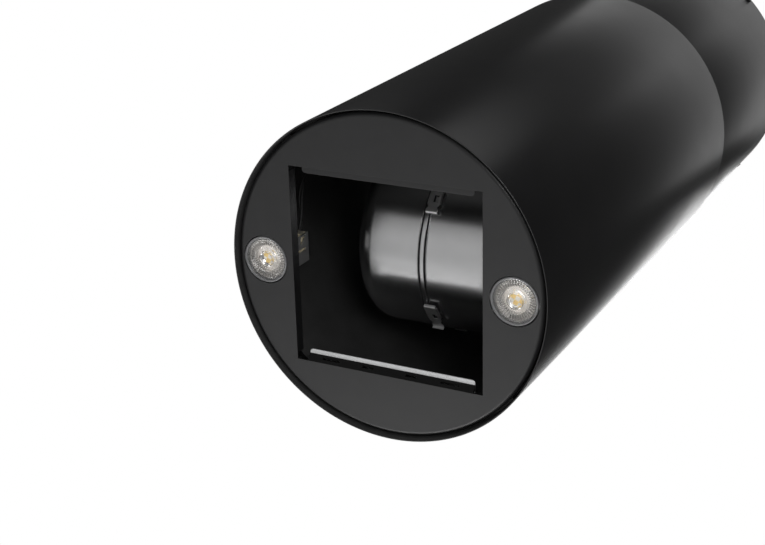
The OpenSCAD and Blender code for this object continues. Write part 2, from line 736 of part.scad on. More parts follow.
// Gland on the cover for the mains cable
module cable_gland() color("#303133") at_rim() translate([gland_x, gland_y, deck_top + box_h + 2]) difference() {
    union() {
        translate([0, 0, -8]) cylinder(r = 8, h = 9);
        cylinder(r = 12, h = 4, $fn = 6);
        translate([0, 0, 4]) cylinder(r = 9.5, h = 7);
        translate([0, 0, 11]) cylinder(r1 = 9.5, r2 = 7, h = 5);
        translate([0, 0, -4.5]) cylinder(r = 11, h = 2.5);
    }
    translate([0, 0, -10]) cylinder(r = gland_bore_r, h = 30);
}

module control_box_screws() color("#c0c2c4") at_rim()
    for (side = [-1, 1])
        translate([side * 54, -119, deck_top + box_h + 2]) pan_screw(1.6, 8, 3.2, 2);

// ---- Telescopic frame ----

// Steel angle whose outer corner is at (corner, corner), with its legs towards the axis
module angle(corner, leg, low, high) {
    block([corner - leg, corner - angle_t, low], [corner, corner, high]);
    block([corner - angle_t, corner - leg, low], [corner, corner, high]);
}

module in_quadrants() {
    for (x = [0, 1])
        for (y = [0, 1])
            mirror([x, 0, 0]) mirror([0, y, 0]) children();
}

module hood_uprights() color("#9a9da0") at_rim() in_quadrants() difference() {
    angle(hood_corner, hood_angle_leg, deck_top, hood_angle_top);
    slot_low = clamp_z - travel - 6;
    slot_high = clamp_z + 6;
    block([clamp_x - slot_r, hood_corner - 5, slot_low], [clamp_x + slot_r, hood_corner + 1, slot_high]);
    for (z = [slot_low, slot_high])
        translate([clamp_x, hood_corner, z]) rotate([90, 0, 0]) cylinder(r = slot_r, h = 10, center = true);
}

module ceiling_uprights() color("#9a9da0") at_rim() in_quadrants() difference() {
    angle(ceiling_corner, angle_leg, overall_h - ceiling_plate_t - ceiling_angle_h, overall_h - ceiling_plate_t);
    translate([clamp_x, ceiling_corner, clamp_z]) rotate([90, 0, 0]) cylinder(r = clamp_r + 0.2, h = 10, center = true);
}

// Bolt and nut that clamp each pair of uprights at the set height
module clamp_bolts() color("#c0c2c4") at_rim() in_quadrants()
    translate([clamp_x, ceiling_corner, clamp_z]) rotate([-90, 0, 0]) {
        cylinder(r = 5, h = 3);
        translate([0, 0, -11]) cylinder(r = clamp_r, h = 12);
        translate([0, 0, 3 - eps]) difference() {
            cylinder(r = 5, h = 1);
            translate([0, 0, -1]) cylinder(r = 2.5, h = 4, $fn = 6);
        }
        translate([0, 0, -9.2]) cylinder(r = 5.6, h = 4.9, $fn = 6);
    }

module ceiling_plate() color("#8f9295") at_rim() difference() {
    union() {
        translate([0, 0, overall_h - ceiling_plate_t]) cylinder(r = ceiling_plate_r, h = ceiling_plate_t);
        for (a = [45, 135, 225, 315])
            rotate([0, 0, a]) {
                block([150, -tab_w / 2, overall_h - ceiling_plate_t], [tab_x, tab_w / 2, overall_h]);
                block([tab_x - tab_t, -tab_w / 2, overall_h - tab_h], [tab_x, tab_w / 2, overall_h]);
            }
    }
    translate([0, 0, overall_h - 5]) cylinder(r = duct_hole_r, h = 10);
    for (a = [0, 90, 180, 270])
        rotate([0, 0, a]) translate([bolt_circle_d / 2, 0, overall_h - 5]) cylinder(r = bolt_hole_r, h = 10);
    for (a = [45, 135, 225, 315])
        rotate([0, 0, a]) translate([tab_x, 0, tube_screw_z]) rotate([0, 90, 0]) cylinder(r = 1.9, h = 10, center = true);
    translate([gland_x, gland_y, overall_h - 5]) cylinder(r = 9, h = 10);
}

module upper_tube() color("#1d1d1e") at_rim() difference() {
    translate([0, 0, upper_z]) ring(upper_r, upper_in, overall_h - upper_z - 0.5);
    for (a = [45, 135, 225, 315])
        rotate([0, 0, a]) translate([upper_r, 0, tube_screw_z]) rotate([0, 90, 0]) cylinder(r = 2.1, h = 10, center = true);
}

module upper_tube_screws() color("#262626") at_rim()
    for (a = [45, 135, 225, 315])
        rotate([0, 0, a]) translate([upper_r, 0, tube_screw_z]) rotate([0, 90, 0]) pan_screw(1.8, 6, 3.6, 2);

lower_tube();
base_plate();
front_filter_ledge();
rear_filter_ledge();
plate_brackets();
plate_nuts();
left_lamp_bracket();
right_lamp_bracket();
left_lampholder();
right_lampholder();
left_terminal_cap();
right_terminal_cap();
left_bulb_body();
right_bulb_body();
left_bulb_lens();
right_bulb_lens();
left_led_module();
right_led_module();
left_lamp_lead();
right_lamp_lead();
lead_grommets();
blower_left_shell();
blower_right_shell();
seam_clips();
left_inlet_ring();
right_inlet_ring();
left_inlet_guard();
motor_case();
motor_bracket();
motor_dampers();
bracket_screws();
motor_lead();
impeller();
impeller_hub();
motor_shaft();
motor_deck();
deck_brackets();
deck_screws();
outlet_gasket();
outlet_collar();
outlet_screws();
front_flap();
rear_flap();
capacitor();
capacitor_strap();
control_box_tray();
control_box_cover();
control_board();
terminal_block();
cable_gland();
control_box_screws();
hood_uprights();
ceiling_plate();
ceiling_uprights();
clamp_bolts();
upper_tube();
upper_tube_screws();
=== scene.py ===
"""Finishes, lights and camera for a tube-shaped island range hood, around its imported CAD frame.

Lengths are in metres in the row frame: +Z up to the ceiling, +X to the right lamp, -Y to the front.
"""

import json
import math

import bmesh
import bpy
from mathutils import Matrix, Vector

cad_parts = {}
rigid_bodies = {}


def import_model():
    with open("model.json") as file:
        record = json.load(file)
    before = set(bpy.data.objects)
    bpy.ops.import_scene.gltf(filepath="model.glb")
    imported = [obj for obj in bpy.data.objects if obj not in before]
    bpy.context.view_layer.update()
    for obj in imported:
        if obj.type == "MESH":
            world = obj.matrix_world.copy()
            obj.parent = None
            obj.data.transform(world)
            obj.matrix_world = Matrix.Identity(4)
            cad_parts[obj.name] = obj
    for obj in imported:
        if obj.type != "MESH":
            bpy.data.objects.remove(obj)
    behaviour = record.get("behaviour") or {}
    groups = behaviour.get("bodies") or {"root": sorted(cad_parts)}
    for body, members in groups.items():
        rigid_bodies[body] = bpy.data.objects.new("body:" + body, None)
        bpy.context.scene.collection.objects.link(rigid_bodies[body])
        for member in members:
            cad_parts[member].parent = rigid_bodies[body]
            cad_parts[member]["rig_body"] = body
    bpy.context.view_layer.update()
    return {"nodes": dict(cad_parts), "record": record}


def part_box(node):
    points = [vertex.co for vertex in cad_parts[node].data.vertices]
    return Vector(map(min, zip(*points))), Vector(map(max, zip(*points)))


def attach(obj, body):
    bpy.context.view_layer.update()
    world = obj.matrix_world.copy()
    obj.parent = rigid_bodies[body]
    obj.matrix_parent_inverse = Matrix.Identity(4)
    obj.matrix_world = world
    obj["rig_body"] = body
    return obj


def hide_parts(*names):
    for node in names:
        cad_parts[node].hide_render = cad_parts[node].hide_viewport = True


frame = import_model()
NODES = frame["nodes"]
SLOTS = {part["node"]: part["material_slot"] for part in frame["record"]["subparts"]}
MM = 0.001
TURN = 2 * math.pi

# Places that the frame gives
RIM_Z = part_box("lower_tube")[0].z
TUBE_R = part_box("lower_tube")[1].x
UPPER_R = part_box("upper_tube")[1].x
HUB_LOW, HUB_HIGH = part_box("impeller_hub")
BLOWER_Y = (HUB_LOW.y + HUB_HIGH.y) / 2
BLOWER_Z = (HUB_LOW.z + HUB_HIGH.z) / 2

# Sizes of the CAD parts that are modelled again
WALL = 1.2 * MM
SHEET = 1.0 * MM
DRUM_R = 100 * MM
DRUM_HALF = 83 * MM
THROAT_R = 56.2 * MM

# Rounding of the drum's left and right ends, where the CAD has 29 mm at both
DRUM_ROUNDS = {-1: 23 * MM, 1: 18 * MM}


def placed(name, data):
    """A new object in the scene."""
    piece = bpy.data.objects.new(name, data)
    bpy.context.scene.collection.objects.link(piece)
    return piece


# ---- Materials ----

def new_material(name):
    """A new material, its nodes, its links and its shader."""
    made = bpy.data.materials.new(name)
    made.use_nodes = True
    nodes, links = made.node_tree.nodes, made.node_tree.links
    return made, nodes, links, nodes["Principled BSDF"]


def math_node(nodes, links, operation, first, second):
    """A maths node's result. A number for second is set on its socket, and an output is linked."""
    node = nodes.new("ShaderNodeMath")
    node.operation = operation
    links.new(first, node.inputs[0])
    if isinstance(second, float):
        node.inputs[1].default_value = second
    else:
        links.new(second, node.inputs[1])
    return node.outputs["Value"]


def texture_point(nodes, links, stretch=(1, 1, 1), source=None):
    """The object's own coordinates in metres, stretched along each axis."""
    mapping = nodes.new("ShaderNodeMapping")
    mapping.inputs["Scale"].default_value = stretch
    if source is None:
        source = nodes.new("ShaderNodeTexCoord").outputs["Object"]
    links.new(source, mapping.inputs["Vector"])
    return mapping.outputs["Vector"]


def noise(nodes, links, vector, size, detail=3.0, rough=0.55):
    """Noise whose features are about size metres across."""
    node = nodes.new("ShaderNodeTexNoise")
    node.inputs["Scale"].default_value = 1 / size
    node.inputs["Detail"].default_value = detail
    node.inputs["Roughness"].default_value = rough
    links.new(vector, node.inputs["Vector"])
    return node.outputs["Fac"]


def remap(nodes, links, value, low, high, start=0.3, end=0.7):
    """Value's range from start to end, turned into low to high."""
    node = nodes.new("ShaderNodeMapRange")
    node.inputs["From Min"].default_value = start
    node.inputs["From Max"].default_value = end
    node.inputs["To Min"].default_value = low
    node.inputs["To Max"].default_value = high
    links.new(value, node.inputs["Value"])
    return node.outputs["Result"]


def blend_colors(nodes, links, factor, first, second):
    """The first colour where the factor is 0, and the second where it is 1."""
    node = nodes.new("ShaderNodeMix")
    node.data_type = "RGBA"
    node.inputs["A"].default_value = (*first, 1)
    node.inputs["B"].default_value = (*second, 1)
    links.new(factor, node.inputs["Factor"])
    return node.outputs["Result"]


def bump(nodes, links, height, strength, depth, shader):
    """Small relief on the shader, depth metres high."""
    node = nodes.new("ShaderNodeBump")
    node.inputs["Strength"].default_value = strength
    node.inputs["Distance"].default_value = depth
    links.new(height, node.inputs["Height"])
    links.new(node.outputs["Normal"], shader.inputs["Normal"])


def drum_point(nodes, links):
    """Coordinates that run along the blower's axis and round its drum."""
    split = nodes.new("ShaderNodeSeparateXYZ")
    links.new(nodes.new("ShaderNodeTexCoord").outputs["Object"], split.inputs["Vector"])
    rearward = math_node(nodes, links, "SUBTRACT", split.outputs["Y"], BLOWER_Y)
    upward = math_node(nodes, links, "SUBTRACT", split.outputs["Z"], BLOWER_Z)
    angle = math_node(nodes, links, "ARCTAN2", rearward, upward)
    unrolled = nodes.new("ShaderNodeCombineXYZ")
    links.new(split.outputs["X"], unrolled.inputs["X"])
    links.new(math_node(nodes, links, "MULTIPLY", angle, DRUM_R), unrolled.inputs["Y"])
    return unrolled.outputs["Vector"]


def surface(name, color, rough, metallic=0.0, tint=0.12, cloud=0.03, spread=0.04, grain=0.0006,
            bumps=0.08, depth=0.00003, stretch=(1, 1, 1), level=0.5,
            on_drum=False, **sockets):
    """A finish with a cloudy tint, uneven roughness and a fine grain.

    Sockets named in the last arguments are set directly.
    """
    made, nodes, links, shader = new_material(name)
    source = drum_point(nodes, links) if on_drum else None
    even = texture_point(nodes, links, source=source)
    grained = texture_point(nodes, links, stretch, source=source)
    clouds = noise(nodes, links, even, cloud, 4.0)
    fine = noise(nodes, links, grained, grain, 2.0)
    light = tuple(min(1.0, c * (1 + tint)) for c in color)
    dark = tuple(c * (1 - tint) for c in color)
    shade = remap(nodes, links, clouds, 0.0, 1.0)
    links.new(blend_colors(nodes, links, shade, dark, light), shader.inputs["Base Color"])
    both = math_node(nodes, links, "ADD", clouds, fine)
    uneven = remap(nodes, links, both, rough - spread, rough + spread, 0.7, 1.3)
    links.new(uneven, shader.inputs["Roughness"])
    bump(nodes, links, fine, bumps, depth, shader)
    shader.inputs["Metallic"].default_value = metallic
    shader.inputs["Specular IOR Level"].default_value = level
    for socket, value in sockets.items():
        shader.inputs[socket.replace("_", " ")].default_value = value
    return made


def woven_sleeve():
    """Black braided sleeve: two sets of diagonal threads."""
    thread_scale, cross_turn = 340, (0.7, 0.6, 0.8)
    made, nodes, links, shader = new_material("woven_sleeve")
    point = texture_point(nodes, links)
    heights = []
    for lean in (-1, 1):
        turned = nodes.new("ShaderNodeMapping")
        turned.inputs["Rotation"].default_value = (cross_turn[0] * lean, cross_turn[1],
                                                   cross_turn[2] * lean)
        links.new(point, turned.inputs["Vector"])
        wave = nodes.new("ShaderNodeTexWave")
        wave.inputs["Scale"].default_value = thread_scale
        wave.inputs["Distortion"].default_value = 0.6
        links.new(turned.outputs["Vector"], wave.inputs["Vector"])
        heights.append(wave.outputs["Fac"])
    weave = math_node(nodes, links, "MAXIMUM", heights[0], heights[1])
    color = blend_colors(nodes, links, weave, (0.004, 0.004, 0.004), (0.022, 0.022, 0.022))
    links.new(color, shader.inputs["Base Color"])
    links.new(remap(nodes, links, weave, 0.7, 0.45, 0, 1), shader.inputs["Roughness"])
    bump(nodes, links, weave, 0.5, 0.0002, shader)
    return made


def clear_lens():
    """Clear moulded plastic with a slightly uneven gloss."""
    made, nodes, links, shader = new_material("clear_lens")
    point = texture_point(nodes, links)
    clouds = noise(nodes, links, point, 0.004)
    links.new(blend_colors(nodes, links, clouds, (0.97, 0.97, 0.96), (1.0, 1.0, 1.0)),
              shader.inputs["Base Color"])
    links.new(remap(nodes, links, clouds, 0.03, 0.10), shader.inputs["Roughness"])
    shader.inputs["Transmission Weight"].default_value = 1.0
    shader.inputs["IOR"].default_value = 1.45
    return made


STEEL = (0.60, 0.605, 0.61)
FINISHES = {
    "black_tube": surface("satin_black", (0.0105, 0.0105, 0.011), 0.30, tint=0.08, cloud=0.06,
                          spread=0.02, grain=0.0009, bumps=0.03, depth=0.00002),
    "tube_inside": surface("inner_black", (0.046, 0.046, 0.046), 0.58, tint=0.15, cloud=0.02,
                           spread=0.05, grain=0.0007, bumps=0.18, depth=0.00004),
    "black_plate": surface("powder_black", (0.011, 0.011, 0.0115), 0.40, tint=0.10, cloud=0.015,
                           spread=0.05, grain=0.0006, bumps=0.35, depth=0.00005),
    "steel_bright": surface("rolled_steel", STEEL, 0.30, 1.0, tint=0.05, cloud=0.02, spread=0.05,
                            grain=0.0005, bumps=0.06, depth=0.00002, stretch=(0.03, 1, 1)),
    "drum_steel": surface("drum_steel", (0.56, 0.56, 0.565), 0.25, 1.0, tint=0.05, cloud=0.03,
                          spread=0.015, grain=0.0010, bumps=0.01, depth=0.000005,
                          stretch=(1, 0.03, 1), on_drum=True),
    "galvanised": surface("galvanised_steel", (0.44, 0.45, 0.46), 0.40, 1.0, tint=0.14, cloud=0.009,
                          spread=0.10, grain=0.0012, bumps=0.05, depth=0.00002),
    "spring_steel": surface("spring_steel", (0.52, 0.52, 0.52), 0.44, 0.9, tint=0.06, cloud=0.006,
                            spread=0.06, grain=0.0004, bumps=0.06, depth=0.00002,
                            stretch=(1, 0.1, 1)),
    "zinc_screw": surface("zinc_plating", (0.62, 0.63, 0.66), 0.28, 1.0, tint=0.08, cloud=0.003,
                          spread=0.08, grain=0.0004, bumps=0.08, depth=0.00002),
    "black_screw": surface("black_plating", (0.018, 0.018, 0.018), 0.36, tint=0.2, cloud=0.003,
                           grain=0.0004, bumps=0.12),
    "ceramic": surface("ceramic", (0.62, 0.55, 0.38), 0.72, tint=0.08, cloud=0.005, grain=0.0005,
                       bumps=0.25, depth=0.00006),
    "lamp_body": surface("lamp_body", (0.22, 0.22, 0.225), 0.34, tint=0.08, cloud=0.004,
                         grain=0.0006, bumps=0.12, depth=0.00003),
    # Dark grey on the cup's floor and walls round the teeth: painted shade in that recess
    "lamp_gap_shade": surface("lamp_gap_shade", (0.07, 0.07, 0.07), 0.45, tint=0.1, cloud=0.003, grain=0.0006,
                        bumps=0.1, depth=0.00003),
    "lamp_teeth": surface("lamp_teeth", (0.40, 0.38, 0.36), 0.34, tint=0.06, cloud=0.004,
                          grain=0.0006, bumps=0.1, depth=0.00003),
    "bracket_steel": surface("bracket_steel", (0.60, 0.60, 0.60), 0.42, 0.9, tint=0.06, cloud=0.006,
                             spread=0.06, grain=0.0007, bumps=0.1, depth=0.00003,
                             stretch=(1, 1, 0.05)),
    # A darker, less reflective copy of the plate's powder black: painted shade on the sloped rear
    # flange
    "slope_shaded_black": surface("slope_shaded_black", (0.006, 0.006, 0.006), 0.40, tint=0.1, cloud=0.01,
                           spread=0.03, grain=0.0006, bumps=0.1, depth=0.00003, level=0.12),
    "lamp_bowl": surface("lamp_bowl", (0.90, 0.86, 0.82), 0.34, tint=0.04, cloud=0.004,
                         grain=0.0008, bumps=0.10, depth=0.00003),
    "lamp_lens": clear_lens(),
    "led_board": surface("led_board", (0.90, 0.88, 0.85), 0.45, tint=0.05, cloud=0.003,
                         grain=0.0005, bumps=0.08),
    "led_die": surface("led_die", (0.92, 0.66, 0.24), 0.55, tint=0.06, cloud=0.001, grain=0.0003,
                       bumps=0.15),
    "sleeve": woven_sleeve(),
    # Rubber parts; the same dark finish also paints shade into the drum seam's recess
    "rubber": surface("rubber", (0.016, 0.016, 0.016), 0.70, tint=0.15, cloud=0.006, grain=0.0005,
                      bumps=0.2, depth=0.00004),
    "black_plastic": surface("black_plastic", (0.014, 0.014, 0.015), 0.48, tint=0.12, cloud=0.01,
                             grain=0.0007, bumps=0.2, depth=0.00003),
    "motor": surface("motor_case", (0.22, 0.225, 0.23), 0.46, 0.8, tint=0.1, cloud=0.008,
                     grain=0.0009, bumps=0.25, depth=0.00005),
    "impeller": surface("impeller_coat", (0.045, 0.046, 0.048), 0.40, 0.3, tint=0.15, cloud=0.01,
                        grain=0.0007, bumps=0.1),
    "white_plastic": surface("pale_plastic", (0.74, 0.74, 0.71), 0.42, tint=0.04, cloud=0.02,
                             grain=0.0008, bumps=0.12, depth=0.00003),
    "board": surface("circuit_board", (0.02, 0.12, 0.05), 0.35, tint=0.25, cloud=0.004,
                     grain=0.0007, bumps=0.15),
    "terminal": surface("terminal_plastic", (0.66, 0.62, 0.50), 0.50, tint=0.05, cloud=0.006,
                        grain=0.0006, bumps=0.1),
}


# ---- Meshes ----

def arc(centre, radius, start, end, steps=8):
    """Points of an arc about centre, from start to end in degrees."""
    turns = [math.radians(start + (end - start) * i / steps) for i in range(steps + 1)]
    return [(centre[0] + radius * math.cos(t), centre[1] + radius * math.sin(t)) for t in turns]


def round_tube(height, radius, angle):
    """A point round the hood's own axis."""
    return (radius * math.cos(angle), radius * math.sin(angle), height)


def round_drum(along, radius, angle):
    """A point round the blower's axis. Angle 0 is straight down, and positive is to the rear."""
    return (along, BLOWER_Y + radius * math.sin(angle), BLOWER_Z - radius * math.cos(angle))


def lathe(profile, place, steps=192, start=0.0, sweep=TURN):
    """Vertices and faces of a closed (along, radius) profile turned round an axis."""
    whole = abs(sweep - TURN) < 1e-6
    rings = steps if whole else steps + 1
    count = len(profile)
    verts = [place(a, r, start + sweep * i / steps) for i in range(rings) for a, r in profile]
    faces = []
    for i in range(steps):
        j = (i + 1) % rings
        for k in range(count):
            n = (k + 1) % count
            faces.append((i * count + k, j * count + k, j * count + n, i * count + n))
    if not whole:
        faces.append(tuple(range(count)))
        faces.append(tuple(steps * count + k for k in reversed(range(count))))
    return verts, faces


def joined(*parts):
    """Several lists of vertices and faces as one."""
    verts, faces = [], []
    for part_verts, part_faces in parts:
        base = len(verts)
        verts.extend(part_verts)
        faces.extend(tuple(i + base for i in face) for face in part_faces)
    return verts, faces


def shade(mesh, angle=32):
    """Smooth shading with sharp edges past the angle."""
    mesh.polygons.foreach_set("use_smooth", [True] * len(mesh.polygons))
    mesh.set_sharp_from_angle(angle=math.radians(angle))
    mesh.update()


def make(name, shape, finishes, pick=None, angle=32):
    """A mesh object from vertices and faces. Pick gives a face's finish from its centre."""
    mesh = bpy.data.meshes.new(name)
    mesh.from_pydata([tuple(v) for v in shape[0]], [], shape[1])
    work = bmesh.new()
    work.from_mesh(mesh)
    bmesh.ops.recalc_face_normals(work, faces=work.faces)
    work.to_mesh(mesh)
    work.free()
    piece = placed(name, mesh)
    for finish in finishes:
        mesh.materials.append(FINISHES[finish])
    if pick:
        for face in mesh.polygons:
            face.material_index = pick(face.center)
    shade(mesh, angle)
    return piece


def stand_for(piece, node):
    """The piece rides on the node's body and stands for it, whose CAD part is hidden."""
    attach(piece, NODES[node]["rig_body"])
    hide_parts(node)
    return piece


def apply_modifiers(piece):
    """The piece's mesh with its modifiers built in."""
    graph = bpy.context.evaluated_depsgraph_get()
    mesh = bpy.data.meshes.new_from_object(piece.evaluated_get(graph), depsgraph=graph)
    piece.modifiers.clear()
    piece.data = mesh
    return piece


def soften(piece, width, segments=2, angle=34):
    """Rounded edges on the piece's sharp corners."""
    bevel = piece.modifiers.new("round", "BEVEL")
    bevel.width = width
    bevel.segments = segments
    bevel.limit_method = "ANGLE"
    bevel.angle_limit = math.radians(angle)
    bevel.use_clamp_overlap = True
    apply_modifiers(piece)
    shade(piece.data, angle)
    flat = piece.modifiers.new("flat", "WEIGHTED_NORMAL")
    flat.keep_sharp = True
    return apply_modifiers(piece)


def refined(node, width=0.3 * MM, segments=2, finish=None, pick=None, extra=()):
    """A copy of a CAD node's mesh with merged faces, rounded edges and a real finish."""
    same_place, same_plane = 0.002 * MM, math.radians(0.4)
    work = bmesh.new()
    work.from_mesh(NODES[node].data)
    bmesh.ops.remove_doubles(work, verts=work.verts, dist=same_place)
    bmesh.ops.dissolve_limit(work, angle_limit=same_plane, verts=work.verts, edges=work.edges)
    mesh = bpy.data.meshes.new(node + "_finished")
    work.to_mesh(mesh)
    work.free()
    piece = placed(node + "_finished", mesh)
    mesh.materials.clear()
    mesh.materials.append(FINISHES[finish or SLOTS[node]])
    for other in extra:
        mesh.materials.append(FINISHES[other])
    for face in mesh.polygons:
        face.material_index = pick(face.center) if pick else 0
    return stand_for(soften(piece, width, segments), node)


def subtract(piece, cutter):
    """Cuts the cutter out of the piece and deletes it."""
    cut = piece.modifiers.new("cut", "BOOLEAN")
    cut.operation = "DIFFERENCE"
    cut.solver = "EXACT"
    cut.object = cutter
    apply_modifiers(piece)
    bpy.data.objects.remove(cutter)
    return piece


def merge(first, *others):
    """Several mesh objects as one."""
    with bpy.context.temp_override(active_object=first, object=first,
                                   selected_editable_objects=[first, *others]):
        bpy.ops.object.join()
    return first


# ---- Tubes ----

def tube_profile(radius, low, high):
    """Closed profile of a sheet tube with rounded rims."""
    lip = WALL / 2
    middle = radius - lip
    return arc((high - lip, middle), lip, 90, -90, 8) + arc((low + lip, middle), lip, -90, -270, 8)


def tube(node, radius):
    """A sheet tube, glossier outside than inside."""
    low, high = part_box(node)[0].z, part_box(node)[1].z
    shape = lathe(tube_profile(radius, low, high), round_tube, 256)
    inside = radius - WALL * 0.6
    piece = make(node + "_sheet", shape, ["black_tube", "tube_inside"],
                 lambda c: 1 if math.hypot(c.x, c.y) < inside else 0)
    return stand_for(piece, node)


tube("lower_tube", TUBE_R)
tube("upper_tube", UPPER_R)


# ---- Blower ----

def shell_profile(side):
    """Closed (along, radius) profile of one pressed half, stepped in under the seam's band."""
    rounding = DRUM_ROUNDS[side]
    corner = (DRUM_HALF - rounding, DRUM_R - rounding)
    outside = arc(corner, rounding, 90, 0, 24)
    inside = arc(corner, rounding - SHEET, 0, 90, 24)
    step = [(0.2, -2.6), (0.2, -1.6), (3.9, -1.6), (4.05, -1.3), (4.15, 0.1), (4.3, 0.45),
            (4.65, 0.6), (5.0, 0.45), (5.3, 0.0)]
    under = [(5.3, -1.0), (4.9, -2.6)]
    ends = [(DRUM_HALF, THROAT_R), (DRUM_HALF - SHEET, THROAT_R)]
    points = [(a * MM, DRUM_R + r * MM) for a, r in step] + outside + ends + inside
    points += [(a * MM, DRUM_R + r * MM) for a, r in under]
    return [(side * a, r) for a, r in points]


def drum_band():
    """Closed profile of the band that covers the seam."""
    low, high = DRUM_R - 1.55 * MM, DRUM_R + 0.75 * MM
    edge, corner = 2.3 * MM, 0.5 * MM
    left = arc((-edge + corner, high - corner), corner, 180, 90, 4)
    right = arc((edge - corner, high - corner), corner, 90, 0, 4)
    return [(-edge, low)] + left + [(0.0, high + 0.15 * MM)] + right + [(edge, low)]


NECK_R = 78 * MM
NECK_FLANGE_R = 92 * MM
NECK_FLANGE_T = 1.5 * MM
# Half-width of the seam's recess that is painted dark as shade in the groove
SEAM_SHADE_HALF = 4.08 * MM
DECK_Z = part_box("blower_left_shell")[1].z


def drum_distance(point):
    """How far a point is from the blower's axis."""
    return math.hypot(point.y - BLOWER_Y, point.z - BLOWER_Z)


def seam_groove_shade(centre):
    """Which of the pressed half's finishes a face takes: its recess in the seam takes the dark
    rubber finish, as painted shade in the groove.
    """
    in_recess = drum_distance(centre) < DRUM_R - 0.2 * MM
    return 1 if abs(centre.x) < SEAM_SHADE_HALF and in_recess else 0


def neck_bore():
    """A plug that clears the neck's way through the drum."""
    top, radius, centre = DECK_Z + 0.01, NECK_R - 0.5 * MM, 0.1 * MM
    outline = [(BLOWER_Z, centre), (BLOWER_Z, radius), (top, radius), (top, centre)]
    return make("bore", lathe(outline, round_tube, 128), ["drum_steel"])


def half_neck(side):
    """Half of the flanged neck between the drum and the deck."""
    flange = DECK_Z - NECK_FLANGE_T
    wall = [(BLOWER_Z, NECK_R - SHEET), (BLOWER_Z, NECK_R), (flange, NECK_R),
            (flange, NECK_FLANGE_R), (DECK_Z, NECK_FLANGE_R), (DECK_Z, NECK_R - SHEET)]
    start = -math.pi / 2 if side > 0 else math.pi / 2
    gap = 0.2 * MM / NECK_R
    shape = lathe(wall, round_tube, 128, start + gap, math.pi - 2 * gap)
    return make("neck", shape, ["drum_steel"])


def half_drum_solid(side):
    """The space that the drum's half takes up, to trim the neck to it."""
    rounding, inset, past_middle, centre = DRUM_ROUNDS[side], 0.5 * MM, -0.03, 0.1 * MM
    corner = (DRUM_HALF - rounding, DRUM_R - rounding)
    outline = [(past_middle, centre), (past_middle, DRUM_R - inset), (corner[0], DRUM_R - inset)]
    outline += arc(corner, rounding - inset, 84, 0, 16) + [(DRUM_HALF - inset, centre)]
    shape = lathe([(side * a, r) for a, r in outline], round_drum, 128)
    return make("drum_solid", shape, ["drum_steel"])


def half_shell(node, side):
    """One pressed half of the drum with its half of the neck."""
    # The seam's recess takes the dark rubber finish, as painted shade in the groove
    drum = make(node + "_pressed", lathe(shell_profile(side), round_drum, 240),
                ["drum_steel", "rubber"], seam_groove_shade)
    subtract(drum, neck_bore())
    neck = half_neck(side)
    subtract(neck, half_drum_solid(side))
    piece = merge(drum, neck)
    shade(piece.data, 30)
    return stand_for(piece, node)


half_shell("blower_left_shell", -1)
half_shell("blower_right_shell", 1)
BAND_START, BAND_SWEEP = math.radians(-137), math.radians(242)
band = make("seam_band", lathe(drum_band(), round_drum, 200, BAND_START, BAND_SWEEP),
            ["drum_steel"])
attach(band, "hood_body")


# Each clip's angle round the drum in degrees and half of its length; the clips are in millimetres
CLIPS = ((-97, 13), (-41, 13), (36, 18), (88, 13))
CLIP_X = 6.0
CLIP_HALF_W = 7.0
CLIP_END_HALF_W = CLIP_HALF_W * 0.94
CLIP_TOP = 4.6
CLIP_T = 0.8


def prism(outline, low, high):
    """Vertices and faces of an outline of (u, v) points, from height low to high."""
    count = len(outline)
    verts = [(u, v, w) for w in (low, high) for u, v in outline]
    faces = [tuple(reversed(range(count))), tuple(range(count, 2 * count))]
    faces += [(k, (k + 1) % count, count + (k + 1) % count, count + k) for k in range(count)]
    return verts, faces


def clip_outline(reach):
    """The clip's face: straight by its window, then a narrow waist and a wider foot."""
    waist = [(0.30, 1.0), (0.42, 0.96), (0.52, 0.80), (0.60, 0.72), (0.68, 0.76), (0.80, 0.95),
             (0.92, 1.0)]
    edge = [(-reach, CLIP_END_HALF_W), (-reach * 0.82, CLIP_HALF_W)]
    edge += [(reach * u, CLIP_HALF_W * v) for u, v in waist] + [(reach, CLIP_END_HALF_W)]
    return edge + [(u, -v) for u, v in reversed(edge)]


def across_clip(ring, end):
    """A closed (u, w) section drawn across the clip's end, at its low or high side."""
    count = len(ring)
    verts = [(end * u, v, w) for v in (-CLIP_END_HALF_W, CLIP_END_HALF_W) for u, w in ring]
    faces = [tuple(range(count)), tuple(reversed(range(count, 2 * count)))]
    faces += [(k, (k + 1) % count, count + (k + 1) % count, count + k) for k in range(count)]
    return verts, faces


def folded_lip(end, reach):
    """A lip that folds down from the clip's face towards the drum."""
    centre, outer, thick, foot = CLIP_TOP - 1.5, 1.5, 0.7, 1.3
    turns = [math.radians(a) for a in range(0, 91, 15)]
    outside = [(reach + outer * math.sin(t), centre + outer * math.cos(t)) for t in turns]
    inside = [(reach + (outer - thick) * math.sin(t), centre + (outer - thick) * math.cos(t))
              for t in reversed(turns)]
    ring = outside + [(reach + outer, foot), (reach + outer - thick, foot)] + inside
    return across_clip(ring, end)


def raised_flange(end, reach):
    """A short flange that bends away from the drum at the end of the clip's face."""
    rise = 2.6
    section = [(-1.2, -CLIP_T), (0.9, -CLIP_T), (1.4, -0.3), (1.4, rise), (0.6, rise), (0.6, 0.3),
               (0.2, 0.0), (-1.2, 0.0)]
    return across_clip([(reach + u, CLIP_TOP + w) for u, w in section], end)


